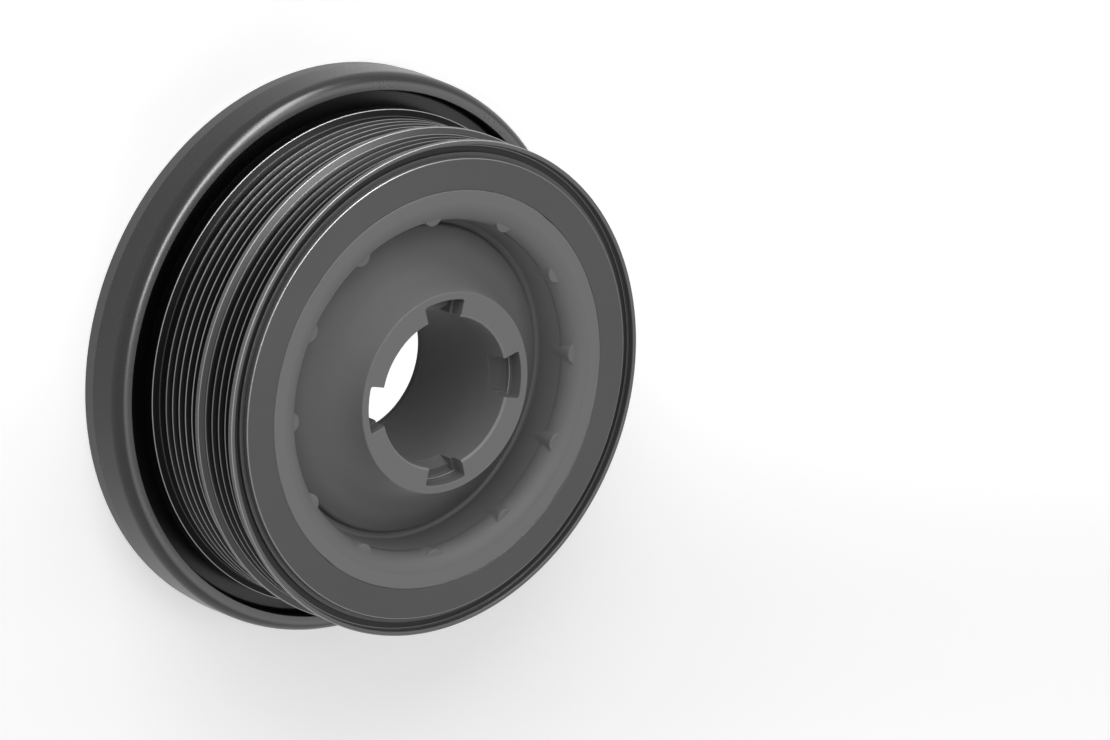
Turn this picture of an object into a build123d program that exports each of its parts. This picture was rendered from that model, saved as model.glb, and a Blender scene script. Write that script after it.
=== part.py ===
from build123d import *
import math
import os

# Harmonic balancer with belt pulley, millimetres. Z is the crankshaft axis and points to the front of the
# engine. The origin is the centre of the rear face of the inertia ring. The X axis runs through the middle
# of one pocket in the hub nose.

# Gap of bonded and pressed faces, gap of sliding faces, small rounding of machined edges
bond_gap = 0.03
slide_gap = 0.06
edge_break = 0.4
cut_overrun = 2.0

# Multi-rib belt section shared by both tracks
rib_pitch = 3.56
groove_angle = 40.0
groove_root_width = 0.9
groove_depth = 2.9
rib_crest_radius = 83.45
rear_groove_count = 6
front_groove_count = 4

# Flanges beside the belt tracks: height over the ribs, slope down to them, width of each crest
flange_height = 2.25
flange_slope_width = 1.25
rear_flange_width = 4.1
middle_flange_width = 1.5
front_flange_width = 1.8

# Belt pulley body: wall under the grooves, recess in front with the lip around it, neck for the bearing
pulley_wall = 3.05
pulley_recess_depth = 2.2
pulley_recess_lip = 1.6
pulley_neck_length = 9.0

# Inertia ring: body behind the pulley and a lip around the rear of the pulley
ring_step_z = 13.0
ring_pulley_gap = 6.0
ring_lip_overlap = 0.3
ring_lip_gap = 5.35
ring_lip_thickness = 5.75
ring_front_round = 4.2
ring_inner_round = 1.5
ring_rear_band = 4.6
ring_rear_setback = 0.4

# Elastic coupling between hub and pulley: two sleeves and the rubber between them
sleeve_thickness = 1.2
coupling_rubber_thickness = 6.0
coupling_rear_inset = 5.0
coupling_front_gap = 3.8
coupling_rubber_inset = 1.5

# Front bearing, thrust washer and retaining ring
bush_wall = 2.5
washer_thickness = 0.9
washer_edge_gap = 2.85
retainer_setback = 1.55
retainer_edge_thickness = 1.86
retainer_inner_thickness = 2.66
retainer_inner_drop = 0.15

# Outer wall of the hub, its rounded lip and the cavity behind the web
rim_width = 10.7
rim_rear_z = 2.0
rear_wall = 10.0
cavity_round = 4.0
damper_rubber_thickness = 5.0
damper_rubber_inset = 0.8

# Dish between the nose and the outer wall of the hub: the web leaves the nose in a wide round, falls as a
# shallow cone to a rounded shoulder, and a shallow groove parts the shoulder from the wall
dish_depth = 17.7
dish_wall_draft = 7.5
dish_lip_round = 6.5
groove_width = 2.35
groove_inner_round = 0.5
groove_outer_round = 1.2
shoulder_round = 1.7
shoulder_rise = 1.76
web_slope = 20.0
web_thickness = 8.5

# Half-round nubs on the dish wall
nub_count = 12
nub_radius = 3.6
nub_projection = 1.4
nub_top_drop = 2.0
nub_length = 14.0

# Hub sleeve and nose
bore_radius = 26.2
bore_length = 49.5
bore_mouth_chamfer = 0.7
nose_lead = 4.1
nose_step = 2.0
sleeve_wall = 11.0

# Pockets in the inner edge of the nose: outer level, ledge, inner level and slope down to the bore
pocket_count = 4
pocket_angle = 30.0
pocket_wall = 2.8
pocket_depth = 5.2
pocket_ledge = 1.1
pocket_floor_drop = 1.8
pocket_floor_width = 2.5
pocket_slope_width = 2.4
pocket_slope_depth = 3.5

os.makedirs("parts", exist_ok=True)

# Heights from the inertia ring forwards: pulley rear, belt tracks and flanges
pulley_rear_z = ring_step_z + ring_pulley_gap
ring_front_z = pulley_rear_z + ring_lip_overlap
rear_track_z = pulley_rear_z + rear_flange_width + flange_slope_width
middle_flange_z = rear_track_z + rear_groove_count * rib_pitch
front_track_z = middle_flange_z + 2 * flange_slope_width + middle_flange_width
front_track_end_z = front_track_z + front_groove_count * rib_pitch
pulley_front_z = front_track_end_z + flange_slope_width + front_flange_width

# Heights of the front stack, from the pulley recess forwards to the nose
recess_floor_z = pulley_front_z - pulley_recess_depth
neck_rear_z = recess_floor_z - pulley_neck_length
washer_front_z = recess_floor_z + bond_gap + washer_thickness
retainer_rear_z = washer_front_z + slide_gap
retainer_edge_z = retainer_rear_z + retainer_edge_thickness
rim_z = retainer_rear_z + retainer_inner_thickness + retainer_inner_drop
nose_z = rim_z + nose_lead
seat_z = nose_z - bore_length
dish_floor_z = rim_z - dish_depth
coupling_rear_z = pulley_rear_z + coupling_rear_inset
coupling_front_z = neck_rear_z - coupling_front_gap

# Radii from the ribs inwards: pulley bore, sleeves and rubber of the coupling, rim of the hub
groove_root_radius = rib_crest_radius - groove_depth
groove_half_top = groove_root_width / 2 + groove_depth * math.tan(math.radians(groove_angle / 2))
pulley_bore_radius = groove_root_radius - pulley_wall
outer_sleeve_radius = pulley_bore_radius - bond_gap
coupling_rubber_outer = outer_sleeve_radius - sleeve_thickness - bond_gap
coupling_rubber_inner = coupling_rubber_outer - coupling_rubber_thickness
inner_sleeve_radius = coupling_rubber_inner - bond_gap - sleeve_thickness
rim_radius = inner_sleeve_radius - bond_gap
dish_wall_radius = rim_radius - rim_width
rear_cavity_radius = rim_radius - rear_wall
nub_tip_radius = dish_wall_radius - nub_projection

# Radii from the rim outwards: bearing, neck of the pulley, damper rubber
bush_inner_radius = rim_radius + slide_gap
bush_outer_radius = bush_inner_radius + bush_wall
neck_radius = bush_outer_radius + bond_gap
damper_bore_radius = rim_radius + damper_rubber_thickness

# Radii from the ribs outwards: flanges, front recess with washer and retaining ring, inertia ring
flange_radius = rib_crest_radius + flange_height
pulley_recess_radius = flange_radius - pulley_recess_lip
washer_outer_radius = pulley_recess_radius - washer_edge_gap
retainer_outer_radius = washer_outer_radius - retainer_setback
retainer_inner_radius = rim_radius + bond_gap
ring_lip_inner_radius = flange_radius + ring_lip_gap
ring_outer_radius = ring_lip_inner_radius + ring_lip_thickness
ring_rear_radius = ring_outer_radius - ring_rear_setback

# Radii of the nose, from the bore outwards across a pocket
pocket_floor_radius = bore_radius + pocket_slope_width
pocket_ledge_radius = pocket_floor_radius + pocket_floor_width
pocket_radius = pocket_ledge_radius + pocket_ledge
nose_radius = pocket_radius + pocket_wall
sleeve_outer_radius = bore_radius + sleeve_wall

# The dish wall leans in towards the groove. The cone of the web meets the side of the groove at the corner of
# the shoulder, and the round at its foot ends one nose step below the nose face
web_fall_rate = math.tan(math.radians(web_slope))
dish_floor_outer = dish_wall_radius - dish_depth * math.tan(math.radians(dish_wall_draft))
dish_floor_inner = dish_floor_outer - groove_width
shoulder_z = dish_floor_z + shoulder_rise
web_foot_z = shoulder_z + (dish_floor_inner - nose_radius) * web_fall_rate
web_foot_round = (nose_z - nose_step - web_foot_z) / math.tan(math.radians(45 - web_slope / 2))

# The cavity behind the web follows the cone at an even thickness
web_drop = web_thickness / math.cos(math.radians(web_slope))
cavity_side_z = shoulder_z - web_drop - (rear_cavity_radius - dish_floor_inner) * web_fall_rate
cavity_top_z = shoulder_z - web_drop + (dish_floor_inner - sleeve_outer_radius) * web_fall_rate

# Cutters for the nose pockets: the outer level and the smaller inner level inside its ledge
with BuildPart() as pocket_outer:
    with BuildSketch(Plane.XZ):
        with BuildLine():
            Polyline(
                (bore_radius - cut_overrun, nose_z - pocket_depth),
                (pocket_radius, nose_z - pocket_depth),
                (pocket_radius, nose_z + cut_overrun),
                (bore_radius - cut_overrun, nose_z + cut_overrun),
                close=True,
            )
        make_face()
    revolve(axis=Axis.Z, revolution_arc=pocket_angle)

pocket_floor_z = nose_z - pocket_depth - pocket_floor_drop
pocket_inner_angle = pocket_angle - 2 * math.degrees(pocket_ledge / pocket_floor_radius)
with BuildPart() as pocket_inner:
    with BuildSketch(Plane.XZ):
        with BuildLine():
            Polyline(
                (bore_radius - cut_overrun, pocket_floor_z - pocket_slope_depth),
                (bore_radius, pocket_floor_z - pocket_slope_depth),
                (pocket_floor_radius, pocket_floor_z),
                (pocket_ledge_radius, pocket_floor_z),
                (pocket_ledge_radius, nose_z),
                (bore_radius - cut_overrun, nose_z),
                close=True,
            )
        make_face()
    revolve(axis=Axis.Z, revolution_arc=pocket_inner_angle)

# Hub: one casting with the dish in front and a cavity behind the web
with BuildPart() as hub:
    with BuildSketch(Plane.XZ) as hub_section:
        with BuildLine():
            Polyline(
                (nose_radius, web_foot_z),
                (dish_floor_inner, shoulder_z),
                (dish_floor_inner, dish_floor_z),
                (dish_floor_outer, dish_floor_z),
                (dish_wall_radius, rim_z),
                (rim_radius, rim_z),
                (rim_radius, rim_rear_z),
                (rear_cavity_radius, rim_rear_z),
                (rear_cavity_radius, cavity_side_z),
                (sleeve_outer_radius, cavity_top_z),
                (sleeve_outer_radius, seat_z),
                (bore_radius, seat_z),
                (bore_radius, nose_z),
                (nose_radius, nose_z),
                close=True,
            )
        make_face()
        for corner, size in (
            ((dish_wall_radius, rim_z), dish_lip_round),
            ((dish_floor_outer, dish_floor_z), groove_outer_round),
            ((dish_floor_inner, dish_floor_z), groove_inner_round),
            ((dish_floor_inner, shoulder_z), shoulder_round),
            ((nose_radius, web_foot_z), web_foot_round),
            ((nose_radius, nose_z), edge_break),
            ((rim_radius, rim_z), edge_break),
            ((sleeve_outer_radius, cavity_top_z), cavity_round),
            ((rear_cavity_radius, cavity_side_z), cavity_round),
        ):
            fillet(hub_section.vertices().sort_by_distance(corner)[0], size)
        chamfer(hub_section.vertices().sort_by_distance((bore_radius, nose_z))[0], bore_mouth_chamfer)
        chamfer(hub_section.vertices().sort_by_distance((bore_radius, seat_z))[0], edge_break)
    revolve(axis=Axis.Z)
    with BuildSketch(Plane.XY.offset(rim_z - nub_top_drop)):
        with PolarLocations(nub_tip_radius + nub_radius, nub_count):
            Circle(nub_radius)
    extrude(amount=-nub_length)
    with PolarLocations(0, pocket_count, start_angle=-pocket_angle / 2):
        add(pocket_outer.part, mode=Mode.SUBTRACT)
    with PolarLocations(0, pocket_count, start_angle=-pocket_inner_angle / 2):
        add(pocket_inner.part, mode=Mode.SUBTRACT)

# Inertia ring: heavy ring with a lip in front that surrounds the rear of the pulley
with BuildPart() as inertia_ring:
    with BuildSketch(Plane.XZ) as ring_section:
        with BuildLine():
            Polyline(
                (damper_bore_radius, 0),
                (ring_rear_radius, 0),
                (ring_rear_radius, ring_rear_band),
                (ring_outer_radius, ring_rear_band + edge_break),
                (ring_outer_radius, ring_front_z),
                (ring_lip_inner_radius, ring_front_z),
                (ring_lip_inner_radius, ring_step_z),
                (damper_bore_radius, ring_step_z),
                close=True,
            )
        make_face()
        fillet(ring_section.vertices().sort_by_distance((ring_outer_radius, ring_front_z))[0], ring_front_round)
        fillet(ring_section.vertices().sort_by_distance((ring_lip_inner_radius, ring_front_z))[0], edge_break)
        fillet(ring_section.vertices().sort_by_distance((ring_lip_inner_radius, ring_step_z))[0], ring_inner_round)
        chamfer(ring_section.vertices().sort_by_distance((ring_rear_radius, 0))[0], edge_break)
    revolve(axis=Axis.Z)

# Damper rubber: bonded ring between the hub wall and the inertia ring, hollowed at both ends
rubber_bottom_z = rim_rear_z + damper_rubber_inset
rubber_top_z = ring_step_z - damper_rubber_inset
with BuildPart() as damper_rubber:
    with BuildSketch(Plane.XZ):
        with BuildLine():
            inner_low = (rim_radius + bond_gap, rubber_bottom_z)
            outer_low = (damper_bore_radius - bond_gap, rubber_bottom_z)
            outer_high = (damper_bore_radius - bond_gap, rubber_top_z)
            inner_high = (rim_radius + bond_gap, rubber_top_z)
            SagittaArc(inner_low, outer_low, damper_rubber_inset)
            Line(outer_low, outer_high)
            SagittaArc(outer_high, inner_high, damper_rubber_inset)
            Line(inner_high, inner_low)
        make_face()
    revolve(axis=Axis.Z)

# Belt pulley: two ribbed tracks with three flanges, a neck for the bearing and a recess in front
track_points = []
for start_z, grooves in ((rear_track_z, rear_groove_count), (front_track_z, front_groove_count)):
    for groove in range(grooves):
        middle_z = start_z + (groove + 0.5) * rib_pitch
        track_points.append((rib_crest_radius, middle_z - groove_half_top))
        track_points.append((groove_root_radius, middle_z - groove_root_width / 2))
        track_points.append((groove_root_radius, middle_z + groove_root_width / 2))
        track_points.append((rib_crest_radius, middle_z + groove_half_top))
rear_track_points = track_points[: 4 * rear_groove_count]
front_track_points = track_points[4 * rear_groove_count :]
with BuildPart() as belt_pulley:
    with BuildSketch(Plane.XZ) as pulley_section:
        with BuildLine():
            Polyline(
                (pulley_bore_radius, pulley_rear_z),
                (flange_radius, pulley_rear_z),
                (flange_radius, pulley_rear_z + rear_flange_width),
                (rib_crest_radius, rear_track_z),
                *rear_track_points,
                (rib_crest_radius, middle_flange_z),
                (flange_radius, middle_flange_z + flange_slope_width),
                (flange_radius, front_track_z - flange_slope_width),
                (rib_crest_radius, front_track_z),
                *front_track_points,
                (rib_crest_radius, front_track_end_z),
                (flange_radius, front_track_end_z + flange_slope_width),
                (flange_radius, pulley_front_z),
                (pulley_recess_radius, pulley_front_z),
                (pulley_recess_radius, recess_floor_z),
                (neck_radius, recess_floor_z),
                (neck_radius, neck_rear_z),
                (pulley_bore_radius, neck_rear_z),
                close=True,
            )
        make_face()
        for corner in (
            (flange_radius, pulley_rear_z),
            (flange_radius, pulley_front_z),
            (pulley_recess_radius, pulley_front_z),
        ):
            fillet(pulley_section.vertices().sort_by_distance(corner)[0], edge_break)
    revolve(axis=Axis.Z)

# Elastic coupling: steel sleeve on the hub, steel sleeve in the pulley, rubber bonded between them
coupling_length = coupling_front_z - coupling_rear_z
with BuildPart() as coupling_inner_sleeve:
    with BuildSketch(Plane.XY.offset(coupling_rear_z)):
        Circle(inner_sleeve_radius + sleeve_thickness)
        Circle(inner_sleeve_radius, mode=Mode.SUBTRACT)
    extrude(amount=coupling_length)

with BuildPart() as coupling_outer_sleeve:
    with BuildSketch(Plane.XY.offset(coupling_rear_z)):
        Circle(outer_sleeve_radius)
        Circle(outer_sleeve_radius - sleeve_thickness, mode=Mode.SUBTRACT)
    extrude(amount=coupling_length)

coupling_rubber_rear_z = coupling_rear_z + coupling_rubber_inset
coupling_rubber_front_z = coupling_front_z - coupling_rubber_inset
with BuildPart() as coupling_rubber:
    with BuildSketch(Plane.XZ):
        with BuildLine():
            inner_rear = (coupling_rubber_inner, coupling_rubber_rear_z)
            outer_rear = (coupling_rubber_outer, coupling_rubber_rear_z)
            outer_front = (coupling_rubber_outer, coupling_rubber_front_z)
            inner_front = (coupling_rubber_inner, coupling_rubber_front_z)
            SagittaArc(inner_rear, outer_rear, coupling_rubber_inset)
            Line(outer_rear, outer_front)
            SagittaArc(outer_front, inner_front, coupling_rubber_inset)
            Line(inner_front, inner_rear)
        make_face()
    revolve(axis=Axis.Z)

# Bearing bush: plain bearing between the hub and the neck of the pulley
with BuildPart() as bearing_bush:
    with BuildSketch(Plane.XY.offset(neck_rear_z)):
        Circle(bush_outer_radius)
        Circle(bush_inner_radius, mode=Mode.SUBTRACT)
    extrude(amount=pulley_neck_length)

# Thrust washer: lies in the pulley recess and takes the end load
with BuildPart() as thrust_washer:
    with BuildSketch(Plane.XY.offset(washer_front_z - washer_thickness)):
        Circle(washer_outer_radius)
        Circle(bush_inner_radius, mode=Mode.SUBTRACT)
    extrude(amount=washer_thickness)

# Retaining ring: slightly conical ring pressed on the hub, holds washer and pulley in place
with BuildPart() as retaining_ring:
    with BuildSketch(Plane.XZ) as retainer_section:
        with BuildLine():
            Polyline(
                (retainer_inner_radius, retainer_rear_z),
                (retainer_outer_radius, retainer_rear_z),
                (retainer_outer_radius, retainer_edge_z),
                (retainer_inner_radius, rim_z - retainer_inner_drop),
                close=True,
            )
        make_face()
        fillet(
            retainer_section.vertices().sort_by_distance((retainer_outer_radius, retainer_edge_z))[0],
            edge_break,
        )
    revolve(axis=Axis.Z)

hub.part.label = "hub"
inertia_ring.part.label = "inertia_ring"
damper_rubber.part.label = "damper_rubber"
belt_pulley.part.label = "belt_pulley"
coupling_inner_sleeve.part.label = "coupling_inner_sleeve"
coupling_rubber.part.label = "coupling_rubber"
coupling_outer_sleeve.part.label = "coupling_outer_sleeve"
bearing_bush.part.label = "bearing_bush"
thrust_washer.part.label = "thrust_washer"
retaining_ring.part.label = "retaining_ring"

export_step(hub.part, "parts/hub.step")
export_step(inertia_ring.part, "parts/inertia_ring.step")
export_step(damper_rubber.part, "parts/damper_rubber.step")
export_step(belt_pulley.part, "parts/belt_pulley.step")
export_step(coupling_inner_sleeve.part, "parts/coupling_inner_sleeve.step")
export_step(coupling_rubber.part, "parts/coupling_rubber.step")
export_step(coupling_outer_sleeve.part, "parts/coupling_outer_sleeve.step")
export_step(bearing_bush.part, "parts/bearing_bush.step")
export_step(thrust_washer.part, "parts/thrust_washer.step")
export_step(retaining_ring.part, "parts/retaining_ring.step")
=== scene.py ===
import math

import bmesh
import bpy
from mathutils import Matrix, Vector


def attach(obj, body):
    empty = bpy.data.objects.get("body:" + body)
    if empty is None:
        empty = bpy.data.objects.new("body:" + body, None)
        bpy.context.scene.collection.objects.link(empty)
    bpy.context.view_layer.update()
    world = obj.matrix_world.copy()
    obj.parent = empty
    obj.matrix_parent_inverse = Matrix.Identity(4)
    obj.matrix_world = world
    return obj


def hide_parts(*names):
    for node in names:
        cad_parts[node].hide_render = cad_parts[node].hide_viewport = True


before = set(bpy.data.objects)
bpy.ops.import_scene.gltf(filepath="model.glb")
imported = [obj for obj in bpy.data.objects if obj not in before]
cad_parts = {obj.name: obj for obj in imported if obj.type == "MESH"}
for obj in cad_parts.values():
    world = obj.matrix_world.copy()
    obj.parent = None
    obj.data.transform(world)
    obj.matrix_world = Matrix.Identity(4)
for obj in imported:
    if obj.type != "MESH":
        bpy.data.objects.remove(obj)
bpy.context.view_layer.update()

# Camera
# Long lens from the front left of the balancer, far away and rolled, so that the rims look like ellipses
# that hardly narrow with distance.
camera_data = bpy.data.cameras.new("view_camera")
camera_data.lens = 973.459
camera_data.sensor_width = 36.0
camera_data.clip_start = 1.0
camera_data.clip_end = 60.0
camera = bpy.data.objects.new("view_camera", camera_data)
bpy.context.scene.collection.objects.link(camera)
camera_right = (0.001971, 0.789251, 0.614067)
camera_up = (-0.9503, 0.192656, -0.244567)
camera_back = (-0.311328, -0.583066, 0.750405)
camera_place = (-3.135149, -5.82779, 7.632858)
camera.matrix_world = Matrix(
    [
        (camera_right[axis], camera_up[axis], camera_back[axis], camera_place[axis])
        for axis in range(3)
    ]
    + [(0, 0, 0, 1)]
)
bpy.context.scene.camera = camera

# Hub
# One iron casting with a fine matte phosphate skin: a sleeve with the crank bore, a nose with four pockets
# for the driver, a dished web and a drafted outer wall that carries twelve half-round nubs. The nose face,
# the rim and the bore are machined, the rest is as cast.
MM = 0.001  # radii and heights are written in millimetres


def rounded_section(corners, steps=4, support=0.25):
    """Points (radius, height) in mm along corners (radius, height, rounding), each rounded by an arc. A wide
    arc gets twice the steps."""
    points = []
    for place, (radius, height, rounding) in enumerate(corners):
        if rounding == 0 or place == 0 or place == len(corners) - 1:
            points.append((radius, height))
            continue
        here = Vector((radius, height))
        before = (Vector(corners[place - 1][:2]) - here).normalized()
        after = (Vector(corners[place + 1][:2]) - here).normalized()
        half = before.angle(after) / 2
        reach = rounding / math.tan(half)
        centre = here + (before + after).normalized() * rounding / math.sin(half)
        start = here + before * reach
        end = here + after * reach
        points.append(tuple(start + before * support))
        count = steps * 2 if rounding > 10 else steps
        swing = (start - centre).angle(end - centre)
        for step in range(count + 1):
            first = math.sin((1 - step / count) * swing) / math.sin(swing)
            second = math.sin(step / count * swing) / math.sin(swing)
            points.append(tuple(centre + (start - centre) * first + (end - centre) * second))
        points.append(tuple(end + after * support))
    return points


hub_bore = 26.2
hub_seat = 23.2
nose_top = 72.7
nose_edge = 35.0
mouth_chamfer = 0.7
web_foot = 59.43
web_foot_round = 16.095
shoulder = (53.6, 52.66)
groove_floor = 50.9
groove_outer = 55.95
wall_radius = 58.28
wall_foot = 52.5
wall_lean = math.tan(math.radians(7.5))
rim_height = 68.6
rim_edge = 68.98
lip_round = 6.5
lip_centre = (63.98, 62.1)
hub_rear = 2.0
cavity_wall = 58.98
sleeve_radius = 37.2
web_rear_outer = 41.66
web_rear_inner = 49.58

# Nubs: a round bar of this radius, sunk in the wall so that its tip stands out, ends flat below the rim
nub_bar = 3.6
nub_axis = 60.48
nub_top = 66.6
nub_edge_round = 0.4
no_nub = 99.0

# Pockets: half angle, outer wall, ledge, floor and the slope that runs down to the bore
pocket_half = 15.0
pocket_wall = 32.2
pocket_level = nose_top - 5.2
ledge_half = 12.796
ledge_wall = 31.1
ledge_drop = 1.8
slope_top = 28.6
slope_rate = 3.5 / 2.4


def corner_distance(first, second, rounding):
    """Distance inside a pocket whose two walls meet in a rounded corner."""
    if first < rounding and second < rounding:
        return rounding - math.hypot(rounding - first, rounding - second)
    return min(first, second)


def step_drop(inside, depth, edge, foot, wall=0.06):
    """How far a milled step has dropped at this distance inside its wall."""
    if inside <= -edge:
        return 0.0
    if inside <= 0:
        return edge - math.sqrt(max(edge**2 - (inside + edge) ** 2, 0.0))
    if inside <= wall:
        return edge + (depth - foot - edge) * inside / wall
    if inside <= wall + foot:
        return depth - foot + math.sqrt(max(foot**2 - (wall + foot - inside) ** 2, 0.0))
    return depth


def nose_height(radius, swing):
    """Height of the front of the nose at this radius, swing degrees away from the nearest pocket."""
    height = nose_top - max(0.0, hub_bore + mouth_chamfer - radius)
    side = math.radians(pocket_half - abs(swing)) * radius
    inside = corner_distance(pocket_wall - radius, side, 0.9)
    height = min(height, nose_top - step_drop(inside, nose_top - pocket_level, 0.3, 0.3))
    side = math.radians(ledge_half - abs(swing)) * radius
    inside = corner_distance(ledge_wall - radius, side, 0.7)
    if inside > -0.2:
        slope = max(0.0, slope_top - radius) * slope_rate
        height = min(height, pocket_level - step_drop(inside, ledge_drop + slope, 0.2, 0.25))
    return height


def nub_face(swing, height):
    """Radius of a nub's face, swing degrees away from its middle."""
    sideways = nub_axis * math.sin(math.radians(swing))
    if abs(sideways) >= nub_bar or height > nub_top:
        return no_nub
    face = nub_axis * math.cos(math.radians(swing)) - math.sqrt(nub_bar**2 - sideways**2)
    under = max(0.0, height - nub_top + nub_edge_round)
    return face + nub_edge_round - math.sqrt(max(nub_edge_round**2 - under**2, 0.0))


def soft_min(first, second, blend):
    """The lesser of two numbers, with the corner between them blended."""
    mix = min(max(0.5 + 0.5 * (second - first) / blend, 0.0), 1.0)
    return second + (first - second) * mix - blend * mix * (1 - mix)


# Dish from the foot of the nose over the cone of the web and its shoulder to the groove and the wall
dish_points = rounded_section(
    [
        (nose_edge, 71.5, 0),
        (nose_edge, web_foot, web_foot_round),
        (*shoulder, 1.7),
        (shoulder[0], groove_floor, 0.5),
        (groove_outer, groove_floor, 1.2),
        (wall_radius - (rim_height - wall_foot) * wall_lean, wall_foot, 0),
    ],
    steps=5,
    support=0.12,
)[1:]

# Rows of points up the wall and round its lip, closer together where the nubs end
wall_heights = (53.2, 54.3, 55.5, 56.3, 57.0, 57.6, 58.2, 58.8, 59.5, 60.5, 61.7)
lip_angles_low = (-7.5, 0.0, 8.0, 16.0, 24.0, 31.0, 36.0, 39.5, 41.5, 43.0, 43.81)
lip_angles_high = (46.0, 50.0, 56.0, 63.0, 71.0, 80.0, 90.0)
back_points = rounded_section(
    [
        (lip_centre[0], rim_height, 0),
        (rim_edge, rim_height, 0.4),
        (rim_edge, hub_rear, 0.5),
        (cavity_wall, hub_rear, 0.5),
        (cavity_wall, web_rear_outer, 4.0),
        (sleeve_radius, web_rear_inner, 4.0),
        (sleeve_radius, hub_seat, 0.5),
        (hub_bore + 0.4, hub_seat, 0),
        (hub_bore, hub_seat + 0.4, 0),
    ],
    steps=3,
)[1:]

# Radii of the rows on the nose, closer together at the edges of the pockets and of their ledges
face_radii = [hub_bore, 26.24, 26.4, 26.6, 26.76, 26.86, 26.9, 26.94, 27.06, 27.6, 28.3, 28.54, 28.6, 28.68]
face_radii += [29.0, 29.6, 30.2, 30.6, 30.79, 30.9, 31.0, 31.04, 31.1, 31.14, 31.2, 31.3]
face_radii += [31.5, 31.84, 31.95, 32.05, 32.14, 32.2, 32.23, 32.3, 32.4, 32.5, 32.9, 33.8, 34.4]
nose_rim = [
    (nose_edge - inward, nose_top - under)
    for inward, under in ((0.4, 0), (0.22, 0.05), (0.08, 0.2), (0, 0.4), (0, 0.6), (0, 1.0))
]


def hub_section(angle):
    """Closed section of the hub at this angle round the axis, from the seat up the bore and round."""
    pocket_swing = (angle + 45) % 90 - 45  # four pockets
    nub_swing = (angle + 15) % 30 - 15  # twelve nubs
    bore_top = nose_height(hub_bore, pocket_swing)
    section = [(hub_bore, height) for height in (24.2, 45.0, bore_top - 0.9, bore_top - 0.1)]
    section += [(radius, nose_height(radius, pocket_swing)) for radius in face_radii]
    section += nose_rim
    section += dish_points
    wall = [(wall_radius - (rim_height - height) * wall_lean, height) for height in wall_heights]
    for degrees in lip_angles_low:
        turn = math.radians(degrees)
        wall.append((lip_centre[0] - lip_round * math.cos(turn), lip_centre[1] + lip_round * math.sin(turn)))
    for radius, height in wall:
        section.append((soft_min(radius, nub_face(nub_swing, min(height, nub_top)), 0.5), height))
    start = section[-1][0]
    end = wall[-1][0] + 0.02
    reach = min(0.15, (end - start) / 3)
    section += [(start + reach, nub_top + 0.004), (end - reach, nub_top + 0.008), (end, nub_top + 0.02)]
    for degrees in lip_angles_high:
        turn = math.radians(degrees)
        section.append((lip_centre[0] - lip_round * math.cos(turn), lip_centre[1] + lip_round * math.sin(turn)))
    return section + back_points


# Stations round the axis lie close together at the sides of the nubs and of the pockets
nub_stations = [0.0, 0.6, 1.2, 1.7, 2.1, 2.4, 2.65, 2.85, 3.05, 3.25, 3.5, 3.8, 4.3, 5.2]
wall_stations = [11.0, 12.0, 12.25, 12.5, 12.68, 12.796, 12.86, 13.0, 13.2]
wall_stations += [13.8, 14.3, 14.5, 14.7, 14.883, 15.0]
edge_stations = [15.06, 15.2, 15.4, 15.6, 16.2]
stations = set()
for quarter in range(4):
    for nub in (0, 30, 60):
        for offset in nub_stations:
            stations.add(round((90 * quarter + nub + offset) % 360, 4))
            stations.add(round((90 * quarter + nub - offset) % 360, 4))
        for offset in (7.0, 9.0, 13.5) if nub == 30 else (7.0, 9.0):
            stations.add(round((90 * quarter + nub + offset) % 360, 4))
            stations.add(round((90 * quarter + nub - offset) % 360, 4))
    for offset in wall_stations + edge_stations:
        stations.add(round((90 * quarter + offset) % 360, 4))
        stations.add(round((90 * quarter - offset) % 360, 4))
stations = sorted(stations)


def link_piece(name, mesh, material):
    """A finished mesh becomes a piece of the object that rides on its only body."""
    piece = bpy.data.objects.new(name, mesh)
    bpy.context.scene.collection.objects.link(piece)
    mesh.materials.clear()
    mesh.materials.append(material)
    mesh.shade_smooth()
    mesh.set_sharp_from_angle(angle=math.radians(42))
    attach(piece, "root")
    return piece


hub_mesh = bmesh.new()
hub_rings = []
for angle in stations:
    turn = math.radians(angle)
    ring = []
    for radius, height in hub_section(angle):
        spot = (radius * MM * math.cos(turn), radius * MM * math.sin(turn), height * MM)
        ring.append(hub_mesh.verts.new(spot))
    hub_rings.append(ring)
for number, ring in enumerate(hub_rings):
    following = hub_rings[(number + 1) % len(hub_rings)]
    for row in range(len(ring)):
        after = (row + 1) % len(ring)
        hub_mesh.faces.new((ring[row], ring[after], following[after], following[row]))
bmesh.ops.remove_doubles(hub_mesh, verts=hub_mesh.verts, dist=1e-7)
hub_data = bpy.data.meshes.new("hub_casting")
hub_mesh.to_mesh(hub_data)
hub_mesh.free()


# Skins shared by several pieces are node groups; each material places them with its own values
def add_node(tree, kind, settings=None, inputs=None):
    """A node with its settings, and with its inputs linked to sockets or set to values."""
    made = tree.nodes.new(kind)
    for name, value in (settings or {}).items():
        setattr(made, name, value)
    for name, value in (inputs or {}).items():
        if isinstance(value, bpy.types.NodeSocket):
            tree.links.new(value, made.inputs[name])
        else:
            made.inputs[name].default_value = value
    return made


def calc(tree, operation, *values, clamp=False):
    """Result socket of a math node."""
    made = add_node(tree, "ShaderNodeMath", {"operation": operation, "use_clamp": clamp})
    for place, value in enumerate(values):
        if isinstance(value, bpy.types.NodeSocket):
            tree.links.new(value, made.inputs[place])
        else:
            made.inputs[place].default_value = value
    return made.outputs[0]


def blend_colours(tree, factor, first, second):
    made = add_node(tree, "ShaderNodeMix", {"data_type": "RGBA"})
    for place, value in ((0, factor), (6, first), (7, second)):
        if isinstance(value, bpy.types.NodeSocket):
            tree.links.new(value, made.inputs[place])
        else:
            made.inputs[place].default_value = value
    return made.outputs[2]


def grey(value, warm=0.0):
    return (value * (1 + warm), value, value * (1 - warm), 1.0)


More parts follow.
